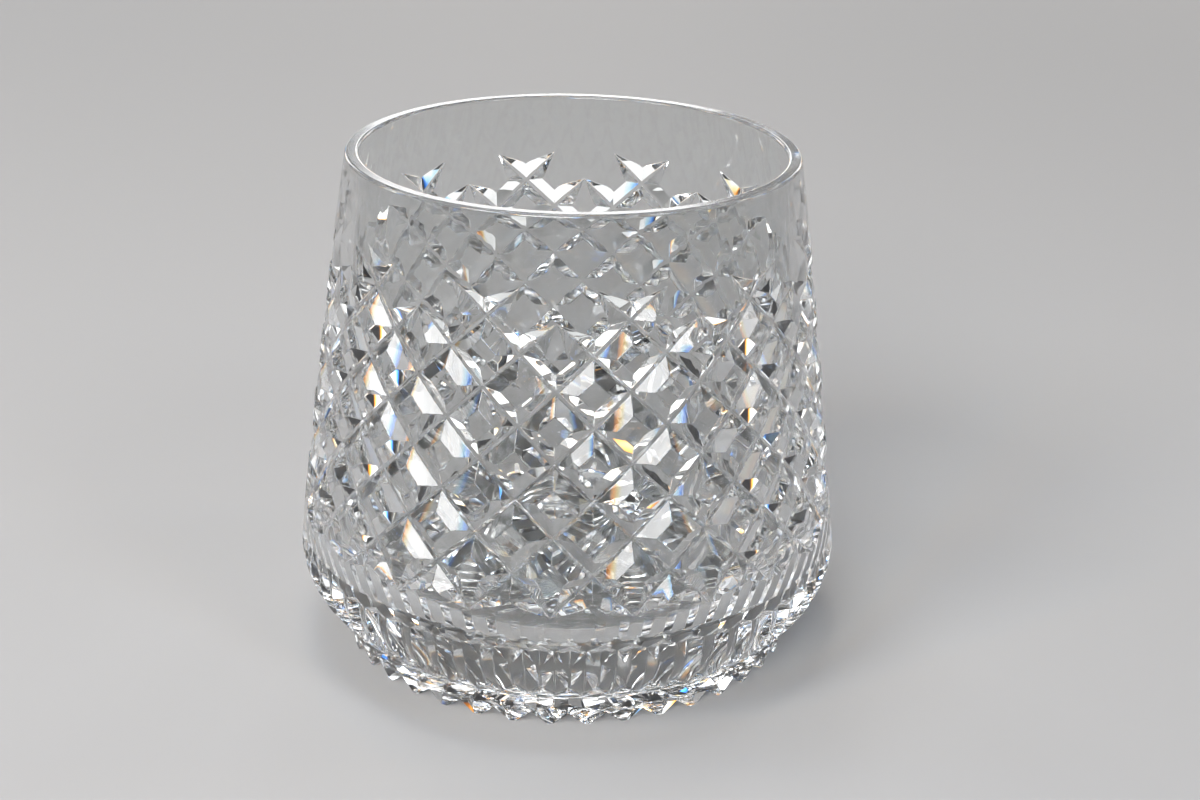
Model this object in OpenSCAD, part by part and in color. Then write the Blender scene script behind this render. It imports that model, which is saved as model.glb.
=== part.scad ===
// Cut-crystal rocks glass: one blown tumbler with a diamond-cut wall, a fluted heel and a star-cut foot.
// The blown shape is turned from its outline. Each band of cutting is a faceted envelope that trims it,
// so the uncut flats keep the blown surface and the grooves are plain V cuts.

/* [Blown shape] */
// Height from the table to the lip
height = 87; // [80:0.5:95]
// Diameter of the lip
rim_d = 76; // [72:0.5:80]
// Largest diameter, at the shoulder
shoulder_d = 95; // [90:0.5:100]
// Height of the shoulder, where the glass is widest
shoulder_z = 17.2; // [16:0.1:18.5]
// How far the wall bows outward from a straight cone, at half height
wall_bow = 0.43; // [0:0.01:0.8]
// Radius of the rounded heel
heel_radius = 13; // [12:0.5:14]
// How far above the shoulder the round of the heel meets the wall in a crease, in degrees of its turn
crease_turn = 13.6; // [12:0.1:15]
// Height of the lower edge of the heel
heel_edge_z = 7; // [6.5:0.1:7.5]

/* [Foot] */
// Diameter of the foot at its top
foot_d = 80.6; // [78:0.1:82]
// How far the foot narrows on each side down to the table
foot_taper = 0.5; // [0:0.1:1]
// Height of the foot's side, up to the undercut below the heel
foot_z = 5.4; // [5:0.1:6]
// Depth of the undercut between foot and heel
undercut = 1.2; // [0.5:0.1:2]

/* [Inside] */
// Thickness of the lip
rim_wall = 2.4; // [2.2:0.1:3]
// Thickness of the wall low down
low_wall = 5; // [4.5:0.1:6]
// Height of the inside floor
floor_z = 7; // [6:0.5:9]
// Radius of the corner between inside wall and floor
floor_radius = 18.5; // [16:0.5:20]
// Size of the polished edges of the lip
lip_edge = 0.6; // [0.3:0.1:0.9]

/* [Diamond cutting] */
// Grooves in each of the two slanted families
grooves = 22; // [18:2:26]
// Rows of crossings below the first one
rows = 8; // [6:1:9]
// Height of the top row of crossings
cut_top = 70.5; // [68:0.5:72]
// Height of the bottom row of crossings
cut_bottom = 23.5; // [23:0.5:26]
// How much the rows grow towards the wide end of the glass
row_growth = 0.08; // [0:0.01:0.15]
// Depth of a groove
groove_depth = 1.5; // [1:0.1:1.7]
// Share of a diamond's width that stays uncut
flat_share = 0.42; // [0.3:0.01:0.55]
// Turn of the diamond cutting about the axis
groove_turn = -108.4; // [-180:0.1:180]

/* [Heel flutes] */
// Flutes round the heel
flutes = 60; // [48:2:72]
// Depth of a flute
flute_depth = 0.9; // [0.5:0.1:1.2]
// Height of the pointed tops of the flutes
flute_top = 19; // [18.7:0.1:19.4]
// Height where the flutes reach their full depth
flute_full = 18; // [17.6:0.1:18.4]
// Turn of the flutes about the axis
flute_turn = -88.1; // [-180:0.1:180]

/* [Foot notches] */
// Notches round the lower edge of the foot
notches = 40; // [24:2:48]
// Height of a notch at the edge of the foot
notch_depth = 2; // [1:0.1:2.5]
// Share of the pitch that stays flat between two notches
notch_land = 0.17; // [0.1:0.01:0.4]
// Radius of the flat underside where the notches start
notch_start = 32.5; // [30:0.5:35]
// Turn of the notches about the axis
notch_turn = -88; // [-180:0.1:180]

/* [Star under the foot] */
// Depth of the star's rays at their outer ends
star_depth = 0.9; // [0.5:0.1:1.2]
// Share of the pitch that stays flat between two rays
star_land = 0.08; // [0.05:0.01:0.3]

/* [Hidden] */

// Facets of the turned surfaces in a preview
$fn = 176;
crystal = [0.86, 0.9, 0.93, 0.6];

rim_r = rim_d / 2;
shoulder_r = shoulder_d / 2;
heel_centre = [shoulder_r - heel_radius, shoulder_z];
heel_sweep = asin((shoulder_z - heel_edge_z) / heel_radius);
heel_steps = 3;
corner_steps = 8;
low_wall_z = floor_z + floor_radius;
// The rays of the star are deepest at one radius, come to points just inside the notches and fade out at the hub
star_r = notch_start - 2.5;
star_end = notch_start - 0.5;
star_hub = 1.5;
// Each envelope runs past the blown shape by this much where it doesn't cut
past = 6;
// A groove that fades out, or a ridge that stays, keeps this small step from the blown surface
sliver = 0.12;

// Heights where the turned wall changes its slope a little
crease_z = shoulder_z + heel_radius * sin(crease_turn);
wall_stations = [height, cut_top + past, (cut_top + cut_bottom) / 2, crease_z];

// Radius of the blown wall at a height: a cone that bows out a little
function wall_r(z) =
    let (t = (height - z) / (height - shoulder_z))
    rim_r + (shoulder_r - rim_r) * t + 4 * wall_bow * t * (1 - t);

// Radius of the wall as turned, straight between its stations
function turned_r(z) = lookup(z, [for (s = concat(wall_stations, [shoulder_z])) [s, wall_r(s)]]);

// Radius of the inside wall at a height
function inner_r(z) =
    wall_r(z) - rim_wall - (low_wall - rim_wall) * (height - z) / (height - low_wall_z);

// Point on the heel's round, at a turn below the shoulder, moved outward by some amount
function heel_point(turn, out) =
    heel_centre + (heel_radius + out) * [cos(turn), -sin(turn)];

heel_turns = [for (i = [0:heel_steps]) heel_sweep * i / heel_steps];

outer_outline = concat(
    [[0, height], [rim_r - lip_edge, height], [rim_r, height - lip_edge]],
    [for (i = [1:len(wall_stations) - 2]) [wall_r(wall_stations[i]), wall_stations[i]]],
    [for (turn = concat([-crease_turn], heel_turns)) heel_point(turn, 0)],
    [[foot_d / 2 - undercut, heel_edge_z - undercut / 2], [foot_d / 2, foot_z],
     [foot_d / 2 - foot_taper, 0], [0, 0]]
);

corner_centre = [inner_r(low_wall_z) - floor_radius, low_wall_z];
inner_outline = concat(
    [[0, height + past], [rim_r - rim_wall + lip_edge + past, height + past],
     [rim_r - rim_wall + lip_edge, height], [inner_r(height - lip_edge), height - lip_edge],
     [inner_r(cut_top), cut_top], [inner_r((cut_top + low_wall_z) / 2), (cut_top + low_wall_z) / 2]],
    [for (i = [0:corner_steps])
        let (turn = 90 * i / corner_steps)
        corner_centre + floor_radius * [cos(turn), -sin(turn)]],
    [[0, floor_z]]
);

// Height of a row of crossings, counted down from the top one
function row_z(k) =
    let (t = k / rows)
    cut_top - (cut_top - cut_bottom) * (t + row_growth * t * (t - 1));

half_columns = 2 * grooves;
crown = groove_depth * flat_share / (1 - flat_share);

// Every other half column of a row is a crossing of two grooves
function crossing(k, j) = (j + k) % 2 == 0;

// In the top row every other crossing is a closed peak, and the rest send their grooves up one row more.
// The run at the back is out of step with the front one, so two closed peaks meet at each side.
back_first = 2 * round(grooves * 0.18);
back_last = 2 * round(grooves * 0.37);
function closed_peak(j) =
    let (column = j / 2 % grooves, in_back = column >= back_first && column <= back_last)
    j % 2 == 0 && column % 2 == (in_back ? 0 : 1);

// How far the diamond envelope stands off the wall at a row and half column
function stand_off(k, j) =
    k < -1 || k > rows + 1 ? past
    : k == -1 ? (crossing(k + 2, j) ? sliver : closed_peak(j) ? past : crown)
    : k == rows + 1 ? (crossing(rows, j) ? past : crown)
    : crossing(k, j) ? -groove_depth : crown;

// Rows of the diamond envelope, with one beyond each end of the glass
envelope_rows = [for (k = [-2:rows + 2]) k];
function envelope_z(k) = k == -2 ? height + past : k == rows + 2 ? -past : row_z(k);
function envelope_r(k, j) = k == rows + 2 ? shoulder_r + past : turned_r(envelope_z(k)) + stand_off(k, j);

// The fold between two rows runs along the groove, but turns across where the groove stops
function fold_down(k, j) =
    let (along = (j + k + 2) % 2 == 0,
         stops = k == rows || (k == -1 && (closed_peak(j) || closed_peak(j + 1))))
    stops ? !along : along;

// Faces of a closed solid made of rings of n points, the first ring on top
function ring_faces(n, rings, folds) = concat(
    [[for (j = [n - 1:-1:0]) j]],
    [for (i = [0:rings - 2], j = [0:n - 1], half = [0, 1])
        let (a = i * n + j, b = i * n + (j + 1) % n, c = b + n, d = a + n)
        folds[i][j] ? (half == 0 ? [a, b, c] : [a, c, d]) : (half == 0 ? [a, b, d] : [b, c, d])],
    [[for (j = [0:n - 1]) (rings - 1) * n + j]]
);

function ring_point(r, turn, z) = [r * cos(turn), r * sin(turn), z];

// A field of pyramids: their edges are the bottoms of the grooves, and the wall trims off their tops
module diamond_envelope() {
    points = [for (k = envelope_rows, j = [0:half_columns - 1])
        ring_point(envelope_r(k, j), groove_turn + 360 * j / half_columns, envelope_z(k))];
    folds = [for (k = envelope_rows) [for (j = [0:half_columns - 1]) fold_down(k, j)]];
    polyhedron(points, ring_faces(half_columns, len(envelope_rows), folds));
}

// Turns of the heel's round at the tips of the flutes and where they are full
tip_turn = -asin((flute_top - shoulder_z) / heel_radius);
full_turn = -asin((flute_full - shoulder_z) / heel_radius);
flute_turns = concat([full_turn], heel_turns);

// Rings of the flute envelope as [radius, height] pairs for the ridges and for the groove bottoms
ridge_rings = concat(
    [[shoulder_r + past, height + past], [shoulder_r + past, flute_top]],
    [for (turn = flute_turns) heel_point(turn, sliver)],
    [heel_point(heel_sweep, sliver) - [past / 3, past / 2], [shoulder_r, -past]]
);
groove_rings = concat(
    [[shoulder_r + past, height + past], heel_point(tip_turn, sliver)],
    [for (turn = flute_turns) heel_point(turn, -flute_depth)],
    [heel_point(heel_sweep, -flute_depth) - [past / 3, past / 2], [shoulder_r, -past]]
);

// A ring of upright V cuts that follow the round of the heel and come to points under its crease
module flute_envelope() {
    points = [for (i = [0:len(ridge_rings) - 1], j = [0:2 * flutes - 1])
        let (p = j % 2 == 0 ? groove_rings[i] : ridge_rings[i])
        ring_point(p[0], flute_turn + 180 * j / flutes, p[1])];
    folds = [for (i = ridge_rings) [for (j = [0:2 * flutes - 1]) j % 2 == 1]];
    polyhedron(points, ring_faces(2 * flutes, len(ridge_rings), folds));
}

// A fan of V cuts that all start from one point under the foot, so they only reach the glass near its edge
module notch_envelope() {
    foot_r = foot_d / 2 - foot_taper;
    reach = shoulder_r + past;
    slope = notch_depth / (foot_r - notch_start);
    start = -slope * notch_start;
    land = start - (start + notch_depth * notch_land / (1 - notch_land)) * reach / foot_r;
    n = 2 * notches;
    top = [for (j = [0:n - 1]) ring_point(reach, notch_turn + 360 * j / n, height + past)];
    fan = [for (j = [0:n - 1])
        ring_point(reach, notch_turn + 360 * j / n, j % 2 == 0 ? slope * reach + start : land)];
    walls = [for (j = [0:n - 1], half = [0, 1])
        let (next = (j + 1) % n)
        half == 0 ? [j, next, n + next] : [j, n + next, n + j]];
    under = [for (j = [0:n - 1]) [n + j, n + (j + 1) % n, 2 * n]];
    polyhedron(concat(top, fan, [[0, 0, start]]), concat([[for (j = [n - 1:-1:0]) j]], walls, under));
}

// A star of V cuts in the underside, one ray inside each notch
module star_envelope() {
    reach = shoulder_r + past;
    land = -star_depth * star_land / (1 - star_land);
    rings = [[reach, height + past, height + past], [reach, -past, -past], [star_end, -sliver, -sliver],
             [star_r, star_depth, land], [star_hub, -sliver / 4, -sliver / 4]];
    points = [for (ring = rings, j = [0:2 * notches - 1])
        ring_point(ring[0], notch_turn + 180 * j / notches, j % 2 == 0 ? ring[1] : ring[2])];
    folds = [for (ring = rings) [for (j = [0:2 * notches - 1]) j % 2 == 0]];
    polyhedron(points, ring_faces(2 * notches, len(rings), folds));
}

module tumbler() {
    color(crystal)
    difference() {
        intersection() {
            rotate_extrude() polygon(outer_outline);
            notch_envelope();
            star_envelope();
            flute_envelope();
            diamond_envelope();
        }
        rotate_extrude() polygon(inner_outline);
    }
}

tumbler();
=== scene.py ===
"""Looks of a cut-crystal rocks glass: a clear tumbler with a diamond-cut wall, fluted heel and star-cut foot.

The glass is one closed surface, worked out band by band in millimetres and joined where the bands meet. Every
cut has the narrow rounded edges that polishing leaves, and each corner keeps the true normal of its band.
"""

import math

import bpy
import numpy as np
from mathutils import Matrix, Vector


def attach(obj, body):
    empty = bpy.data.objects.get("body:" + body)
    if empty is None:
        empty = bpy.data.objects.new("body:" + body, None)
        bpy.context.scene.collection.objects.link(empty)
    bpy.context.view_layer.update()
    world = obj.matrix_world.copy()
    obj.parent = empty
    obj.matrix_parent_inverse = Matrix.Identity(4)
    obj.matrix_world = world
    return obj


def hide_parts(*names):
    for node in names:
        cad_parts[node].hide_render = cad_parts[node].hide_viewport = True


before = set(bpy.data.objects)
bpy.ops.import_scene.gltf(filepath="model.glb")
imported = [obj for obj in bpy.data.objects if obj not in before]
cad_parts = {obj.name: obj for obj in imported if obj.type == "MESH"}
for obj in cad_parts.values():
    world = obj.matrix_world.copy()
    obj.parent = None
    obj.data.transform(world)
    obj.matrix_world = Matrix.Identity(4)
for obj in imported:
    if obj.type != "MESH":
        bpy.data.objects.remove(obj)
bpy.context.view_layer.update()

scene = bpy.context.scene

# A millimetre, the film of air under the glass, how near points are joined, and a guard against nothing
MM = 0.001
FILM = 0.05
WELD = 0.001
TINY = 1e-9

# Blown shape: millimetres, and turns of the outline's normal below level in degrees
HEIGHT = 87.0
LIP_R = 38.0
SHOULDER_R = 47.5
SHOULDER_Z = 17.2
WALL_BOW = 0.43
HEEL_R = 13.0
HEEL_BOTTOM_Z = 7.0
HEEL_END = math.degrees(math.asin((SHOULDER_Z - HEEL_BOTTOM_Z) / HEEL_R))
HEEL_TOP = -13.6
HEEL_EDGE_R = 0.6
HEEL_EDGE_END = 80.0
FOOT_R = 40.3
FOOT_Z = 5.4
FOOT_BASE_R = 39.8
FOOT_ROUND = 0.45
LEDGE_SHARE = 0.6
LEDGE_BULGE = 0.16
UNDERCUT_R = 39.1
UNDERCUT_Z = 6.4
LIP_WALL = 2.4
LOW_WALL = 5.0
FLOOR_Z = 7.0
FLOOR_CORNER_R = 18.5
LIP_ROUND = 0.6

# Diamond cutting: depths in millimetres, runs in rows, widths and rounded edges in shares of a lattice square
COLUMNS = 22
HALF_COLUMNS = 2 * COLUMNS
ROWS = 8
CUT_TOP = 70.5
CUT_BOTTOM = 23.5
ROW_GROWTH = 0.08
GROOVE_DEPTH = 1.5
CUT_SHARE = 0.58
GROOVE_FLOOR = 0.07
EDGE_BLEND = 0.028
FLOOR_BLEND = 0.022
FULL_BLEND_RUN = 0.25
GROOVE_TURN = -108.4
OPEN_COLUMNS = np.isin(np.arange(COLUMNS), [0, 2, 4, 6, 9, 11, 13, 15, 18, 20])
LEAF_RUN = 1.0
PEAK_RUN = 0.8
POINT_RUN = 0.7
AROUND = 4 * HALF_COLUMNS

# Heel flutes: tips and valleys by the turn of the outline's normal
FLUTES = 60
FLUTE_DEPTH = 0.95
FLUTE_TURN = -88.1
FLUTE_TIP = -8.0
FLUTE_VALLEY = -3.5
FLUTE_ROUND = 0.04
FLUTE_BLEND = 0.05
FLUTE_FADE = 0.4

# Notches of the foot
NOTCHES = 40
NOTCH_DEPTH = 2.0
NOTCH_LAND = 0.17
NOTCH_START = 32.5
NOTCH_TURN = -88.0

# Star under the foot
STAR_DEPTH = 0.9
STAR_LAND = 0.08
STAR_R = NOTCH_START - 2.5
STAR_END = NOTCH_START - 0.5
STAR_HUB = 1.5
STAR_FADE = 0.12

# Crystal: waves a radian and a metre, their height in metres, and where they grow towards the lip
CRYSTAL_TINT = (0.8, 0.81, 0.81, 1)
CRYSTAL_IOR = 1.545
WAVES = (19, 90, 1)
WAVE_HEIGHT = 0.000018
WAVE_LOW, WAVE_LOW_Z = 0.35, 60.0
WAVE_FULL, WAVE_FULL_Z = 1, 80.0
GROUND_LIP = 0.16
GROUND_FROM, GROUND_TO = 0.5, 0.05

# Camera fitted to the photograph: millimetres and degrees
CAMERA_AT = (5.315, -314.387, 172.571)
CAMERA_TILT = 22.632
CAMERA_ROLL = 1.3444
CAMERA_LENS = 58.104
CAMERA_SENSOR = 36

# Stage, in metres: the floor, the room, and lamps in a ring over the far floor
FLOOR_HALF = 3.0
FLOOR_COLOUR = (0.52, 0.52, 0.515, 1)
ROOM_COLOUR = (0.05, 0.05, 0.053, 1)
FLOOR_LAMPS = 8
FLOOR_LAMP_RING = 2.3
FLOOR_LAMP_Z = 1.6
FLOOR_LAMP_SIZE = 1.4
FLOOR_LAMP_POWER = 6
FLOOR_LAMP_SPREAD = 80

# Soft boxes: name, place, point faced, width and height, strength, tinted share, and if the tints are level
AT_GLASS = (0, 0, 0.04)
AT_WALL = (0, 0, 0.06)
OVER_GLASS = (0, 0, 0.3)
SOFT_BOXES = [
    ("front_box", (-0.24, -1.08, 0.72), AT_GLASS, (0.7, 0.45), 12, 0.16, False),
    ("key_box", (-0.62, -0.56, 0.72), AT_GLASS, (0.36, 0.36), 12.5, 0.18, False),
    ("fill_box", (0.62, -0.56, 0.72), AT_GLASS, (0.26, 0.36), 6, 0.2, False),
    ("left_box", (-1.15, 0.15, 0.44), AT_WALL, (0.34, 0.75), 3.6, 0.25, False),
    ("right_box", (1.15, 0.22, 0.44), AT_WALL, (0.25, 0.75), 3.4, 0.25, False),
    ("back_left_box", (-0.68, 1.14, 0.42), OVER_GLASS, (0.3, 0.6), 3.6, 0.1, True),
    ("back_box", (-0.05, 1.24, 0.42), OVER_GLASS, (0.28, 0.6), 3.6, 0.1, True),
    ("back_right_box", (0.62, 1.14, 0.42), OVER_GLASS, (0.28, 0.6), 3.6, 0.1, True),
    ("back_low_box", (0, 1.38, 0.2), (0, 0, 0.2), (1.2, 0.34), 1.4, 0.1, False),
    ("top_box", (-0.12, 0.12, 1.1), AT_GLASS, (0.4, 0.4), 8, 0.18, False),
]


def blown_wall(z):
    """Radius of the blown wall at a height: a cone from shoulder to lip that bows out half way up."""
    t = (HEIGHT - z) / (HEIGHT - SHOULDER_Z)
    return LIP_R + (SHOULDER_R - LIP_R) * t + 4 * WALL_BOW * t * (1 - t)


def bowl_wall(z):
    """Radius of the inside at a height: the blown wall less a thickness that grows evenly downwards."""
    low_z = FLOOR_Z + FLOOR_CORNER_R
    return blown_wall(z) - LIP_WALL - (LOW_WALL - LIP_WALL) * (HEIGHT - z) / (HEIGHT - low_z)


def row_height(k):
    """Height of a row of crossings: steps down from the top row that grow a little towards the wide end."""
    t = k / ROWS
    return CUT_TOP - (CUT_TOP - CUT_BOTTOM) * (t + ROW_GROWTH * t * (t - 1))


def ramp(x, w):
    """Zero below, x above, and a parabola of half width w between, so the corner is rounded."""
    return np.where(x < -w, 0.0, np.where(x > w, x, (x + w) ** 2 / (4 * np.maximum(w, TINY))))


def smooth_max(a, b, w):
    """The larger of two values, with a rounded change-over of half width w."""
    return b + ramp(a - b, w)


def groove_run(row, column):
    """Share of the full depth along a groove: a parabola up from nothing at each end, where the wheel lifts.

    A groove under an open column runs on one row higher, to the tip of a leaf.
    """
    is_open = OPEN_COLUMNS[column % COLUMNS]
    from_top = np.where(is_open, (row + 1) / LEAF_RUN, row / PEAK_RUN)
    from_end = (ROWS - row) / POINT_RUN
    lift = 1 - np.clip(from_top, 0, 1)
    drop = 1 - np.clip(from_end, 0, 1)
    return (1 - lift ** 2) * (1 - drop ** 2)


def lattice_square(j, k):
    """Which unit square of the lattice a point is in, and its place in it.

    Each square between half columns and rows has one groove along a diagonal. Squares whose groove leans the
    other way are mirrored, so the groove always runs from the upper left corner to the lower right one.
    """
    left = np.floor(j)
    top = np.floor(k)
    x = j - left
    y = k - top
    mirrored = (left + top) % 2 == 1
    x = np.where(mirrored, 1 - x, x)
    column = np.where(mirrored, (left + top + 1) / 2, (left - top) / 2)
    return x, y, top, np.rint(column).astype(int)


def cut_depth(j, k):
    """Depth of the diamond cutting at a half column and row.

    Across a groove the depth falls straight from a narrow floor to nothing at the edge of the flat, and where
    two grooves meet the deeper one holds. All three kinds of edge are rounded.
    """
    x, y, top, column = lattice_square(j, k)
    across = np.abs(x - y)
    along = np.minimum(x, y) / np.maximum(1 - across, 1e-6)
    run = groove_run(top + along, column)
    soft = np.clip(run / FULL_BLEND_RUN, 1e-3, 1)
    fall = GROOVE_DEPTH / (CUT_SHARE - GROOVE_FLOOR)
    own = fall * (CUT_SHARE * run - smooth_max(across, GROOVE_FLOOR * run, FLOOR_BLEND * soft))
    near_end = x + y > 1
    across_other = np.where(near_end, 2 - x - y, x + y)
    run_other = groove_run(top + near_end, column)
    other = fall * (CUT_SHARE * run_other - smooth_max(across_other, GROOVE_FLOOR * run_other, FLOOR_BLEND))
    w = fall * EDGE_BLEND * soft
    return ramp(smooth_max(own, other, w), w)


def diamond_point(j, k):
    """Point of the cut wall: the blown wall at that row, moved in by the depth of the cut."""
    z = row_height(k)
    r = blown_wall(z) - cut_depth(j, k)
    turn = np.radians(GROOVE_TURN + 360 * j / HALF_COLUMNS)
    return np.stack([r * np.cos(turn), r * np.sin(turn), z], -1)


def heel_profile(turn):
    """Point and normal of the heel's outline by the turn of its normal: one wide round, then a tight one."""
    a = np.radians(turn)
    normal = np.stack([np.cos(a), -np.sin(a)], -1)
    centre = np.array([SHOULDER_R - HEEL_R, SHOULDER_Z])
    last = np.radians(HEEL_END)
    edge_centre = centre + (HEEL_R - HEEL_EDGE_R) * np.array([np.cos(last), -np.sin(last)])
    on_edge = (turn > HEEL_END)[..., None]
    point = np.where(on_edge, edge_centre + HEEL_EDGE_R * normal, centre + HEEL_R * normal)
    return point, normal


def flute_depth(u, turn):
    """Depth of the flutes: a V across each pitch, with a rounded bottom and ridge, ramping in below a tip."""
    off = np.abs(u - np.rint(u))
    off = np.where(off < FLUTE_ROUND, off ** 2 / (2 * FLUTE_ROUND) + FLUTE_ROUND / 2, off)
    vee = FLUTE_DEPTH * (1 - 2 * off)
    vee = smooth_max(vee, -vee, FLUTE_BLEND)
    ramp_in = np.clip((turn - FLUTE_TIP) / (FLUTE_VALLEY - FLUTE_TIP), 0, 1)
    fade = 1 - FLUTE_FADE * np.clip((turn - HEEL_END) / (HEEL_EDGE_END - HEEL_END), 0, 1)
    return fade * ramp(vee - FLUTE_DEPTH * (1 - ramp_in), FLUTE_BLEND)


def heel_point(u, turn):
    """Point of the fluted heel: its outline moved in along the normal by the flute's depth, then turned."""
    profile, normal = heel_profile(turn)
    p = profile - normal * flute_depth(u, turn)[..., None]
    a = np.radians(FLUTE_TURN + 360 * u / FLUTES)
    return np.stack([p[..., 0] * np.cos(a), p[..., 0] * np.sin(a), p[..., 1]], -1)


def notch_lines(r):
    """Heights of a notch's bottom and of the line between two notches: both rise straight from one point."""
    start = -NOTCH_DEPTH * NOTCH_START / (FOOT_BASE_R - NOTCH_START)
    land = -NOTCH_DEPTH * NOTCH_LAND / (1 - NOTCH_LAND)
    return start + (NOTCH_DEPTH - start) * r / FOOT_BASE_R, start + (land - start) * r / FOOT_BASE_R


def star_lines(r):
    """Heights of a ray's bottom and of the line between two rays: straight up from the hub, then down."""
    stops = [STAR_HUB, STAR_R, STAR_END]
    land = -STAR_DEPTH * STAR_LAND / (1 - STAR_LAND)
    hub = -STAR_FADE / 4
    return np.interp(r, stops, [hub, STAR_DEPTH, -STAR_FADE]), np.interp(r, stops, [hub, land, -STAR_FADE])


def surface_normals(point, u, v, step):
    """Unit normals of a surface of two parameters, from small central differences."""
    along_u = point(u + step, v) - point(u - step, v)
    along_v = point(u, v + step) - point(u, v - step)
    n = np.cross(along_v, along_u)
    return n / np.maximum(np.linalg.norm(n, axis=-1, keepdims=True), 1e-12)


def grid_faces(rows, columns, closed):
    """Triangles of a grid of points, row by row, closed round its columns if it goes all the way round."""
    i = np.arange(rows - 1)[:, None] * columns
    j = np.arange(columns if closed else columns - 1)[None, :]
    a = i + j
    b = i + (j + 1) % columns
    c = b + columns
    d = a + columns
    return np.concatenate([np.stack([a, d, c], -1).reshape(-1, 3), np.stack([a, c, b], -1).reshape(-1, 3)])


def turned_band(r, z, normal_r, normal_z, turns):
    """Surface of revolution: a profile with its own normals carried round the axis at the given turns."""
    a = np.radians(turns)[None, :]
    r, z, normal_r, normal_z = (values[:, None] for values in (r, z, normal_r, normal_z))
    points = np.stack([r * np.cos(a), r * np.sin(a), z + 0 * a], -1)
    normals = np.stack([normal_r * np.cos(a), normal_r * np.sin(a), normal_z + 0 * a], -1)
    return points.reshape(-1, 3), normals.reshape(-1, 3), grid_faces(len(r), len(turns), True)


def zip_rings(upper, lower):
    """Strip of triangles between two closed rings of different counts, taking both rings' points in turn.

    Each edge of one ring gets the point of the other ring that was passed last when its end is reached.
    """
    turns = [np.degrees(np.arctan2(ring[0][:, 1], ring[0][:, 0])) % 360 for ring in (upper, lower)]
    order_a, order_b = np.argsort(turns[0]), np.argsort(turns[1])
    a, b = turns[0][order_a], turns[1][order_b]
    n, m = len(a), len(b)
    last_a = order_a[(np.searchsorted(a, b, side="left") - 1) % n]
    last_b = order_b[(np.searchsorted(b, a, side="right") - 1) % m]
    faces = np.concatenate([
        np.stack([np.roll(order_b, 1) + n, order_b + n, last_a], -1),
        np.stack([order_a, np.roll(order_a, 1), last_b + n], -1),
    ])
    return np.concatenate([upper[0], lower[0]]), np.concatenate([upper[1], lower[1]]), faces


def ring(r, z, normal, turns):
    """One ring of points with one normal, as a radius and height pair, carried round the axis."""
    one = np.ones(1)
    points, normals, _ = turned_band(r * one, z * one, normal[0] * one, normal[1] * one, turns)
    return points, normals


def arc(centre, radius, start, end, steps):
    """Points and normals of an arc of a profile, by the turn of its normal above level."""
    a = np.radians(np.linspace(start, end, steps))
    return centre[0] + radius * np.cos(a), centre[1] + radius * np.sin(a), np.cos(a), np.sin(a)


def wall_normals(radius_at, z, sign):
    """Unit normals of a turned wall from the slope of its radius, outward for sign 1 and inward for -1."""
    slope = (radius_at(z + 0.01) - radius_at(z - 0.01)) / 0.02
    size = np.sqrt(1 + slope ** 2)
    return sign / size, -sign * slope / size


def diamond_wall():
    """The cut wall, as two halves of every lattice square.

    Lines parallel to the groove step from its floor to the middle of the diamond, and cross lines fan out
    between the two mitres. They crowd together at the rounded edges.
    """
    left, top = np.meshgrid(np.arange(HALF_COLUMNS), np.arange(-1, ROWS), indexing="ij")
    left = left.reshape(-1, 1, 1)
    top = top.reshape(-1, 1, 1)
    mirrored = (left + top) % 2 == 1
    column = np.where(mirrored, (left + top + 1) // 2, (left - top) // 2)
    fan = np.array([0, 0.03, 0.25, 0.5, 0.75, 0.97, 1]).reshape(1, -1, 1)
    run = groove_run(top + fan, column)
    soft = np.clip(run / FULL_BLEND_RUN, 0, 1)
    floor_in = GROOVE_FLOOR * run - FLOOR_BLEND * soft
    floor_out = GROOVE_FLOOR * run + FLOOR_BLEND * soft
    edge = CUT_SHARE * run
    edge_in = edge - EDGE_BLEND * soft
    edge_out = edge + EDGE_BLEND * soft
    flat = edge_out + (1 - edge_out) * np.array([0.25, 0.5, 0.75, 1.0])
    across = np.concatenate([0 * edge, floor_in, floor_out, edge_in, edge, edge_out, flat], -1)
    mitre = np.minimum(EDGE_BLEND / (2 * np.maximum(1 - across, 1e-6)), 0.15)
    share = np.array([0, 1, 0, 0, 0, -1, 0]).reshape(1, -1, 1)
    even = np.array([0, 0, 0.25, 0.5, 0.75, 1, 1]).reshape(1, -1, 1)
    along = even + share * mitre
    shapes = []
    for upper_half in (True, False):
        low = (1 - across) * along
        x, y = (low + across, low) if upper_half else (low, low + across)
        j = left + np.where(mirrored, 1 - x, x)
        k = top + y
        points = diamond_point(j, k)
        normals = surface_normals(diamond_point, j, k, 0.003)
        squares, lines, steps = j.shape
        cell = grid_faces(lines, steps, False)
        faces = cell[None] + (np.arange(squares) * lines * steps)[:, None, None]
        faces = np.where(mirrored, faces[..., ::-1], faces)
        shapes.append((points.reshape(-1, 3), normals.reshape(-1, 3), faces.reshape(-1, 3)))
    return shapes


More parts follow.
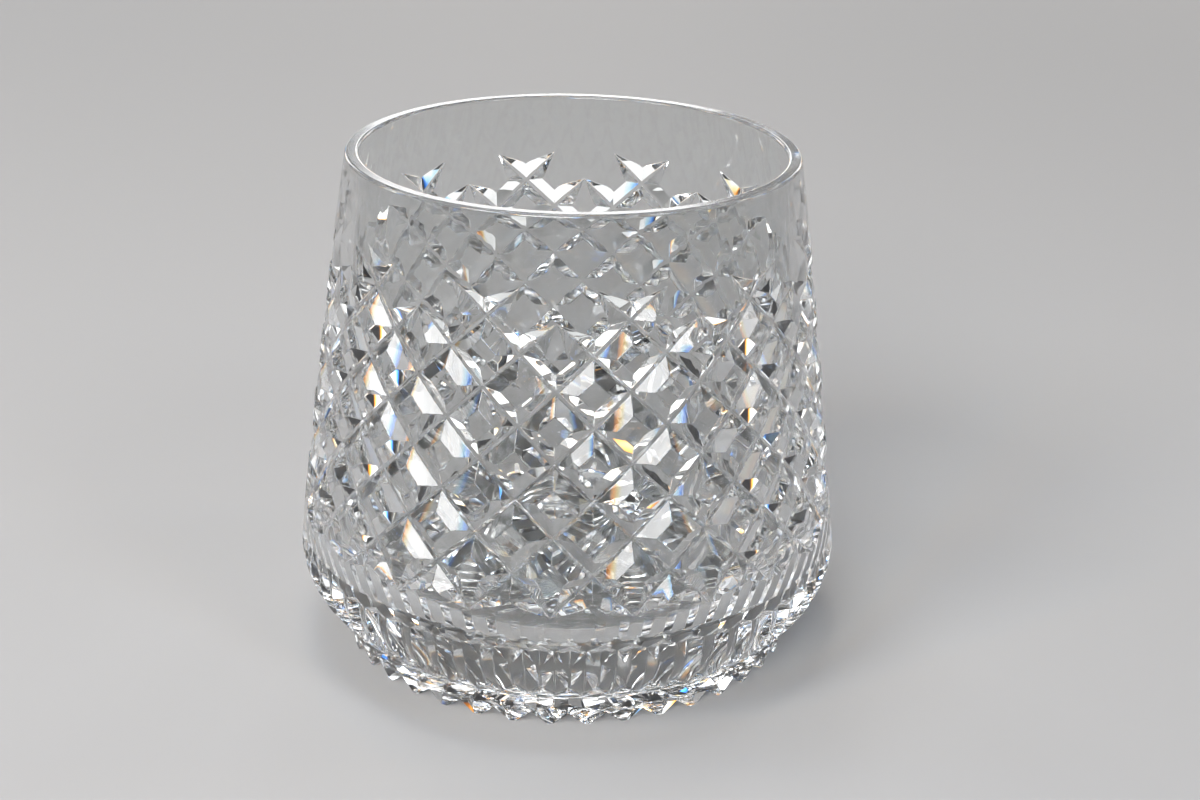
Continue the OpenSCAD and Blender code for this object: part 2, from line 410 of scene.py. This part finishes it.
def bowl_and_lip(turns):
    """Plain band, lip and inside as one profile: up the wall, over the lip, down the bowl to its middle."""
    up_z = np.linspace(row_height(-1.0), HEIGHT - LIP_ROUND, 8)
    up_n = wall_normals(blown_wall, up_z, 1)
    lean = math.degrees(math.atan2(up_n[1][-1], up_n[0][-1]))
    outer = arc((blown_wall(HEIGHT - LIP_ROUND) - LIP_ROUND, HEIGHT - LIP_ROUND), LIP_ROUND, lean, 90, 6)
    inner = arc((bowl_wall(HEIGHT - LIP_ROUND) + LIP_ROUND, HEIGHT - LIP_ROUND), LIP_ROUND, 90, 180 + lean, 6)
    touch = FLOOR_Z + FLOOR_CORNER_R
    down_n = wall_normals(bowl_wall, np.array([touch]), -1)
    tilt = math.degrees(math.atan2(down_n[1][0], -down_n[0][0]))
    down_z = np.linspace(HEIGHT - LIP_ROUND, touch, 16)[1:]
    down_nr, down_nz = wall_normals(bowl_wall, down_z, -1)
    centre = (bowl_wall(touch) - FLOOR_CORNER_R * math.cos(math.radians(tilt)), FLOOR_Z + FLOOR_CORNER_R)
    corner_a = np.radians(np.linspace(tilt, -90, 14)[1:])
    corner_r = centre[0] + FLOOR_CORNER_R * np.cos(corner_a)
    corner_z = centre[1] + FLOOR_CORNER_R * np.sin(corner_a)
    floor_r = corner_r[-1] * np.array([0.75, 0.5, 0.25, 0])
    r = np.concatenate([blown_wall(up_z), outer[0][1:], inner[0], bowl_wall(down_z), corner_r, floor_r])
    z = np.concatenate([up_z, outer[1][1:], inner[1], down_z, corner_z, np.full(4, corner_z[-1])])
    nr = np.concatenate([up_n[0], outer[2][1:], inner[2], down_nr, -np.cos(corner_a), np.zeros(4)])
    nz = np.concatenate([up_n[1], outer[3][1:], inner[3], down_nz, -np.sin(corner_a), np.ones(4)])
    return turned_band(r, z, nr, nz, turns)


def fluted_heel():
    """The heel: rows follow the zigzag where the flutes start, then the outline down to its lower edge."""
    pitch = np.array([-0.5, -0.46, -0.25, -0.05, 0, 0.05, 0.25, 0.46])
    u = (np.arange(FLUTES)[:, None] + pitch[None, :]).reshape(1, -1)
    off = np.abs(u - np.rint(u))
    start = FLUTE_TIP + (FLUTE_VALLEY - FLUTE_TIP) * 2 * off
    above = [HEEL_TOP + 0 * u, (HEEL_TOP + FLUTE_TIP) / 2 + 0 * u]
    zigzag = [start - 0.45, start, start + 0.45]
    below = [turn + 0 * u for turn in (-1.2, 4, 10, 17, 24, 31, 38, 45, HEEL_END, 58, 65, 72, HEEL_EDGE_END)]
    turn = np.concatenate(above + zigzag + below)
    u = np.broadcast_to(u, turn.shape)
    points = heel_point(u, turn)
    normals = surface_normals(heel_point, u, turn, 0.004)
    return points.reshape(-1, 3), normals.reshape(-1, 3), grid_faces(*turn.shape, True), turn.shape


def notched_foot():
    """The foot's side down to its notched edge, and the underside with facets along each notch and each ray.

    Across a notch or ray the height falls straight from its bottom to nothing at its edges.
    """
    star_tip = STAR_R + (STAR_END - STAR_R) * STAR_DEPTH / (STAR_DEPTH + STAR_FADE)
    star_root = STAR_HUB + (STAR_R - STAR_HUB) * STAR_FADE / (STAR_FADE + 4 * STAR_DEPTH)
    in_notches = [FOOT_BASE_R, 37.6, 35.4, 33.6, NOTCH_START]
    in_rays = [star_tip, STAR_R, 22, 14, 7, star_root, 0]
    r = np.array(in_notches + in_rays).reshape(-1, 1, 1)
    notch, star = notch_lines(r), star_lines(r)
    in_star = r < NOTCH_START
    bottom = np.maximum(np.where(in_star, star[0], notch[0]), 0)
    land = np.where(in_star, star[1], notch[1])
    edge = 0.5 * bottom / np.maximum(bottom - land, TINY)
    du = np.concatenate([-0.5 + 0 * edge, -edge, -edge / 2, 0 * edge, edge / 2, edge], -1)
    number = np.arange(NOTCHES)[None, :, None]
    a = np.radians(NOTCH_TURN + 360 * (number + du) / NOTCHES)
    z = bottom * np.maximum(1 - np.abs(du) / np.maximum(edge, TINY), 0) + 0 * a
    under = np.stack([r * np.cos(a), r * np.sin(a), z], -1).reshape(len(r), -1, 3)
    turns = np.degrees(a[0]).reshape(-1)
    share = np.linspace(0, 1, 4)[:, None]
    side_z = (FOOT_Z - FOOT_ROUND) * (1 - share) + under[0, :, 2][None, :] * share
    side_r = FOOT_BASE_R + (FOOT_R - FOOT_BASE_R) * side_z / FOOT_Z
    side_r[-1] = FOOT_BASE_R
    t = np.radians(turns)[None, :]
    side = np.stack([side_r * np.cos(t), side_r * np.sin(t), side_z], -1)
    lean = math.atan2(FOOT_R - FOOT_BASE_R, FOOT_Z)
    side_n = np.stack([math.cos(lean) * np.cos(t) + 0 * side_r, math.cos(lean) * np.sin(t) + 0 * side_r,
                       -math.sin(lean) + 0 * side_r], -1)
    return side, side_n, under, turns


def flat_shaded(points, faces, away):
    """The same triangles with each corner on its own and the face's normal at all three, facing away."""
    corners = points[faces]
    n = np.cross(corners[:, 1] - corners[:, 0], corners[:, 2] - corners[:, 0])
    size = np.linalg.norm(n, axis=-1, keepdims=True)
    keep = size[:, 0] > TINY
    corners, n = corners[keep], n[keep] / size[keep]
    n = n * np.where(n @ away < 0, -1, 1)[:, None]
    return corners.reshape(-1, 3), np.repeat(n, 3, 0), np.arange(3 * len(corners)).reshape(-1, 3)


def facing_out(points, normals, faces):
    """The triangles of a band, all turned over if the band as a whole faces against its normals."""
    corners = points[faces]
    facing = np.cross(corners[:, 1] - corners[:, 0], corners[:, 2] - corners[:, 0])
    return faces[:, ::-1] if (facing * normals[faces].sum(1)).sum() < 0 else faces


def shared_points(points):
    """The points to keep, and which of them each point becomes.

    Points in one cell of a grid are one. A second grid, half a cell off, joins pairs that the first parts.
    """
    def cells(some, offset):
        at = np.round(some / WELD + offset)
        _, kept, of_each = np.unique(at, axis=0, return_index=True, return_inverse=True)
        return kept, of_each.reshape(-1)

    first, same = cells(points, 0.137)
    again, both = cells(points[first], 0.637)
    return first[again], both[same]


def joined_mesh(name, bands, blown_band):
    """One mesh of all bands: points that coincide are joined, and collapsed triangles go.

    Each corner keeps the normal of its own band, or of its triangle where the two disagree. The points of the
    blown band, which no wheel has touched, carry a value of one.
    """
    sizes = [len(points) for points, _, _ in bands]
    counts = np.cumsum([0] + sizes)
    blown = np.repeat(np.arange(len(bands)) == blown_band, sizes)
    points = np.concatenate([b[0] for b in bands])
    normals = np.concatenate([b[1] for b in bands])
    faces = np.concatenate([facing_out(*b) + start for b, start in zip(bands, counts)])
    first, same = shared_points(points)
    merged = same[faces]
    whole = (merged[:, 0] != merged[:, 1]) & (merged[:, 1] != merged[:, 2]) & (merged[:, 2] != merged[:, 0])
    merged = merged[whole]
    corners = points[first][merged]
    facing = np.cross(corners[:, 1] - corners[:, 0], corners[:, 2] - corners[:, 0])
    facing = facing / np.maximum(np.linalg.norm(facing, axis=-1, keepdims=True), 1e-12)
    corner_normals = normals[faces[whole]]
    agrees = (corner_normals * facing[:, None, :]).sum(-1, keepdims=True) > 0.2
    corner_normals = np.where(agrees, corner_normals, facing[:, None, :]).reshape(-1, 3)
    mesh = bpy.data.meshes.new(name)
    mesh.vertices.add(len(first))
    mesh.vertices.foreach_set("co", (points[first] * MM).astype(np.float32).reshape(-1))
    mesh.loops.add(merged.size)
    mesh.loops.foreach_set("vertex_index", merged.reshape(-1).astype(np.int32))
    mesh.polygons.add(len(merged))
    mesh.polygons.foreach_set("loop_start", np.arange(0, merged.size, 3, dtype=np.int32))
    mesh.polygons.foreach_set("use_smooth", np.ones(len(merged), bool))
    mesh.update(calc_edges=True)
    mesh.validate()
    mesh.normals_split_custom_set(corner_normals.tolist())
    mesh.attributes.new("blown", "FLOAT", "POINT").data.foreach_set("value", blown[first].astype(np.float32))
    return mesh


def tumbler_bands():
    """Every band of the glass, from the plain band under the lip round to the underside of the foot."""
    turns = GROOVE_TURN + 360 * np.arange(AROUND) / AROUND
    bands = diamond_wall()
    bands.append(bowl_and_lip(turns))
    low_z = np.array([row_height(float(ROWS)), 22.6, 21.7, 20.95])
    low_n = wall_normals(blown_wall, low_z, 1)
    bands.append(turned_band(blown_wall(low_z), low_z, low_n[0], low_n[1], turns))
    heel, heel_n, heel_faces, (rows, around) = fluted_heel()
    bands.append((heel, heel_n, heel_faces))
    last = low_n[0][-1], low_n[1][-1]
    wall_ring = ring(blown_wall(low_z[-1:])[0], low_z[-1], last, turns)
    top_ring = heel[:around]
    sideways = top_ring[:, :2] / np.linalg.norm(top_ring[:, :2], axis=1, keepdims=True)
    top_n = np.concatenate([sideways * last[0], np.full((around, 1), last[1])], 1)
    bands.append(zip_rings(wall_ring, (top_ring, top_n)))
    edge_ring = heel[-around:]
    flute_turns = np.degrees(np.arctan2(edge_ring[:, 1], edge_ring[:, 0]))
    under = math.radians(HEEL_EDGE_END)
    under_n = (math.cos(under), -math.sin(under))
    gap_ring, gap_n = ring(UNDERCUT_R, UNDERCUT_Z, under_n, flute_turns)
    gap_points = np.concatenate([edge_ring, gap_ring])
    gap_normals = np.concatenate([heel_n[-around:], gap_n])
    bands.append((gap_points, gap_normals, grid_faces(2, around, True)))
    side, side_n, under_foot, notch_turns = notched_foot()
    slope = math.atan2(FOOT_R - UNDERCUT_R, UNDERCUT_Z - FOOT_Z)
    ledge_n = (math.cos(slope), math.sin(slope))
    ledge_r = UNDERCUT_R + (FOOT_R - UNDERCUT_R) * LEDGE_SHARE
    ledge = (ledge_r, UNDERCUT_Z + (FOOT_Z - UNDERCUT_Z) * LEDGE_SHARE)
    ledge_in = ring(UNDERCUT_R, UNDERCUT_Z, ledge_n, flute_turns)
    bands.append(zip_rings(ledge_in, ring(*ledge, ledge_n, notch_turns)))
    side_top = np.array([np.hypot(*side[0, 0, :2]), side[0, 0, 2]])
    mid = (np.array(ledge) + side_top) / 2 + LEDGE_BULGE * np.array([0.8, 0.6])
    rim_r = np.array([ledge[0], mid[0], side_top[0]])
    rim_z = np.array([ledge[1], mid[1], side_top[1]])
    lean = -math.atan2(FOOT_R - FOOT_BASE_R, FOOT_Z)
    rim_a = np.array([slope, (slope + lean) / 2, lean])
    bands.append(turned_band(rim_r, rim_z, np.cos(rim_a), np.sin(rim_a), notch_turns))
    bands.append((side.reshape(-1, 3), side_n.reshape(-1, 3), grid_faces(side.shape[0], side.shape[1], True)))
    under_faces = grid_faces(under_foot.shape[0], under_foot.shape[1], True)
    bands.append(flat_shaded(under_foot.reshape(-1, 3), under_faces, np.array([0, 0, -1.0])))
    return bands


BLOWN_BAND = 2
tumbler = bpy.data.objects.new("crystal_tumbler", joined_mesh("crystal_tumbler", tumbler_bands(), BLOWN_BAND))
scene.collection.objects.link(tumbler)
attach(tumbler, "root")
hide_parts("tumbler")


def new_material(name):
    """A material with its shader tree emptied, ready for its own nodes."""
    material = bpy.data.materials.new(name)
    material.use_nodes = True
    material.node_tree.nodes.clear()
    return material, material.node_tree.nodes, material.node_tree.links


def crystal_glass():
    """Clear lead crystal. The blown inside has faint upright waves, and the top of the lip is ground."""
    material, nodes, links = new_material("crystal")
    out = nodes.new("ShaderNodeOutputMaterial")
    glass = nodes.new("ShaderNodeBsdfPrincipled")
    glass.inputs["Base Color"].default_value = CRYSTAL_TINT
    glass.inputs["IOR"].default_value = CRYSTAL_IOR
    glass.inputs["Transmission Weight"].default_value = 1
    place = nodes.new("ShaderNodeTexCoord")
    split = nodes.new("ShaderNodeSeparateXYZ")
    links.new(place.outputs["Object"], split.inputs["Vector"])
    turn = nodes.new("ShaderNodeMath")
    turn.operation = "ARCTAN2"
    links.new(split.outputs["Y"], turn.inputs[0])
    links.new(split.outputs["X"], turn.inputs[1])
    unroll = nodes.new("ShaderNodeCombineXYZ")
    links.new(turn.outputs["Value"], unroll.inputs["X"])
    links.new(split.outputs["Z"], unroll.inputs["Y"])
    stretch = nodes.new("ShaderNodeVectorMath")
    stretch.operation = "MULTIPLY"
    stretch.inputs[1].default_value = WAVES
    links.new(unroll.outputs["Vector"], stretch.inputs[0])
    waves = nodes.new("ShaderNodeTexNoise")
    waves.inputs["Scale"].default_value = 1
    waves.inputs["Detail"].default_value = 1
    links.new(stretch.outputs["Vector"], waves.inputs["Vector"])
    blown = nodes.new("ShaderNodeAttribute")
    blown.attribute_name = "blown"
    only_blown = nodes.new("ShaderNodeMath")
    only_blown.operation = "MULTIPLY"
    links.new(waves.outputs["Fac"], only_blown.inputs[0])
    links.new(blown.outputs["Fac"], only_blown.inputs[1])
    near_lip = nodes.new("ShaderNodeMapRange")
    near_lip.inputs["From Min"].default_value = WAVE_LOW_Z * MM
    near_lip.inputs["From Max"].default_value = WAVE_FULL_Z * MM
    near_lip.inputs["To Min"].default_value = WAVE_LOW
    near_lip.inputs["To Max"].default_value = WAVE_FULL
    links.new(split.outputs["Z"], near_lip.inputs["Value"])
    wave_height = nodes.new("ShaderNodeMath")
    wave_height.operation = "MULTIPLY"
    links.new(only_blown.outputs["Value"], wave_height.inputs[0])
    links.new(near_lip.outputs["Result"], wave_height.inputs[1])
    bump = nodes.new("ShaderNodeBump")
    bump.inputs["Strength"].default_value = 1
    bump.inputs["Distance"].default_value = WAVE_HEIGHT
    links.new(wave_height.outputs["Value"], bump.inputs["Height"])
    links.new(bump.outputs["Normal"], glass.inputs["Normal"])
    ground = nodes.new("ShaderNodeMapRange")
    ground.inputs["From Min"].default_value = (HEIGHT - GROUND_FROM) * MM
    ground.inputs["From Max"].default_value = (HEIGHT - GROUND_TO) * MM
    ground.inputs["To Min"].default_value = 0
    ground.inputs["To Max"].default_value = GROUND_LIP
    links.new(split.outputs["Z"], ground.inputs["Value"])
    links.new(ground.outputs["Result"], glass.inputs["Roughness"])
    links.new(glass.outputs["BSDF"], out.inputs["Surface"])
    return material


tumbler.data.materials.append(crystal_glass())


def add_camera():
    """The photograph's camera: level with a small roll, looking down on the glass from its front."""
    tilt = math.radians(CAMERA_TILT)
    roll = math.radians(CAMERA_ROLL)
    up = Vector((0, math.sin(tilt), math.cos(tilt)))
    right = Vector((1, 0, 0))
    x = right * math.cos(roll) + up * math.sin(roll)
    y = up * math.cos(roll) - right * math.sin(roll)
    camera = bpy.data.cameras.new("camera")
    camera.lens = CAMERA_LENS
    camera.sensor_width = CAMERA_SENSOR
    camera.clip_start = 0.01
    place = Matrix((x, y, x.cross(y))).transposed().to_4x4()
    place.translation = Vector(CAMERA_AT) * MM
    stand = bpy.data.objects.new("camera", camera)
    stand.matrix_world = place
    scene.collection.objects.link(stand)
    scene.camera = stand


def add_floor():
    """A plain pale floor that reaches past the picture on every side. A film of air stays under the glass."""
    mesh = bpy.data.meshes.new("floor")
    s = FLOOR_HALF
    z = -FILM * MM
    mesh.from_pydata([(-s, -s, z), (s, -s, z), (s, s, z), (-s, s, z)], [], [(0, 1, 2, 3)])
    floor = bpy.data.objects.new("floor", mesh)
    scene.collection.objects.link(floor)
    material, nodes, links = new_material("floor")
    out = nodes.new("ShaderNodeOutputMaterial")
    paint = nodes.new("ShaderNodeBsdfPrincipled")
    paint.inputs["Base Color"].default_value = FLOOR_COLOUR
    paint.inputs["Roughness"].default_value = 0.75
    paint.inputs["Specular IOR Level"].default_value = 0.2
    links.new(paint.outputs["BSDF"], out.inputs["Surface"])
    mesh.materials.append(material)


def soft_box_glow(strength, edge):
    """A lit screen: white, with a warm edge and a cool edge opposite it, each a share of the screen."""
    material, nodes, links = new_material("soft_box")
    out = nodes.new("ShaderNodeOutputMaterial")
    place = nodes.new("ShaderNodeUVMap")
    split = nodes.new("ShaderNodeSeparateXYZ")
    tint = nodes.new("ShaderNodeValToRGB")
    ramp_points = tint.color_ramp.elements
    stops = [(0, (0.3, 0.07, 0.0)), (0.3 * edge, (1.0, 0.42, 0.06)), (0.63 * edge, (1.0, 0.86, 0.45)),
             (edge, (1, 1, 1)), (1 - edge, (1, 1, 1)), (1 - 0.63 * edge, (0.5, 0.82, 1.0)),
             (1 - 0.3 * edge, (0.08, 0.32, 1.0)), (1, (0.0, 0.06, 0.3))]
    while len(ramp_points) < len(stops):
        ramp_points.new(0.5)
    for point, (at, colour) in zip(ramp_points, stops):
        point.position = at
        point.color = (*colour, 1)
    glow = nodes.new("ShaderNodeEmission")
    glow.inputs["Strength"].default_value = strength
    links.new(place.outputs["UV"], split.inputs["Vector"])
    links.new(split.outputs["X"], tint.inputs["Fac"])
    links.new(tint.outputs["Color"], glow.inputs["Color"])
    links.new(glow.outputs["Emission"], out.inputs["Surface"])
    return material


def add_soft_box(name, place, target, size, strength, edge, level):
    """A soft box: a lit screen of a width and height that faces a point. Its tints are upright or level."""
    way = (Vector(target) - Vector(place)).normalized()
    across = way.cross(Vector((0, 0, 1)))
    across = across.normalized() if across.length > 1e-4 else Vector((1, 0, 0))
    up = across.cross(way)
    half_w, half_h = size[0] / 2, size[1] / 2
    corners = [(-1, -1), (-1, 1), (1, 1), (1, -1)]
    mesh = bpy.data.meshes.new(name)
    points = [Vector(place) + across * half_w * a + up * half_h * b for a, b in corners]
    mesh.from_pydata(points, [], [(0, 1, 2, 3)])
    uv = [(b, a) if level else (a, b) for a, b in corners]
    mesh.uv_layers.new().data.foreach_set("uv", [v / 2 + 0.5 for pair in uv for v in pair])
    mesh.materials.append(soft_box_glow(strength, edge))
    box = bpy.data.objects.new(name, mesh)
    box.visible_camera = False
    scene.collection.objects.link(box)


def add_floor_lamp(name, x, y):
    """A wide lamp high over the far floor, which keeps it pale. Its narrow spread keeps it off the glass."""
    lamp = bpy.data.lights.new(name, "AREA")
    lamp.size = FLOOR_LAMP_SIZE
    lamp.energy = FLOOR_LAMP_POWER
    lamp.spread = math.radians(FLOOR_LAMP_SPREAD)
    stand = bpy.data.objects.new(name, lamp)
    stand.location = (x, y, FLOOR_LAMP_Z)
    scene.collection.objects.link(stand)


add_camera()
add_floor()
for soft_box in SOFT_BOXES:
    add_soft_box(*soft_box)
for number in range(FLOOR_LAMPS):
    turn = 2 * math.pi * number / FLOOR_LAMPS
    add_floor_lamp(f"floor_lamp_{number}", FLOOR_LAMP_RING * math.cos(turn), FLOOR_LAMP_RING * math.sin(turn))

world = bpy.data.worlds.new("studio")
scene.world = world
world.use_nodes = True
world.node_tree.nodes["Background"].inputs["Color"].default_value = ROOM_COLOUR

scene.view_settings.view_transform = "Standard"
scene.cycles.max_bounces = 24
scene.cycles.glossy_bounces = 16
scene.cycles.transmission_bounces = 24
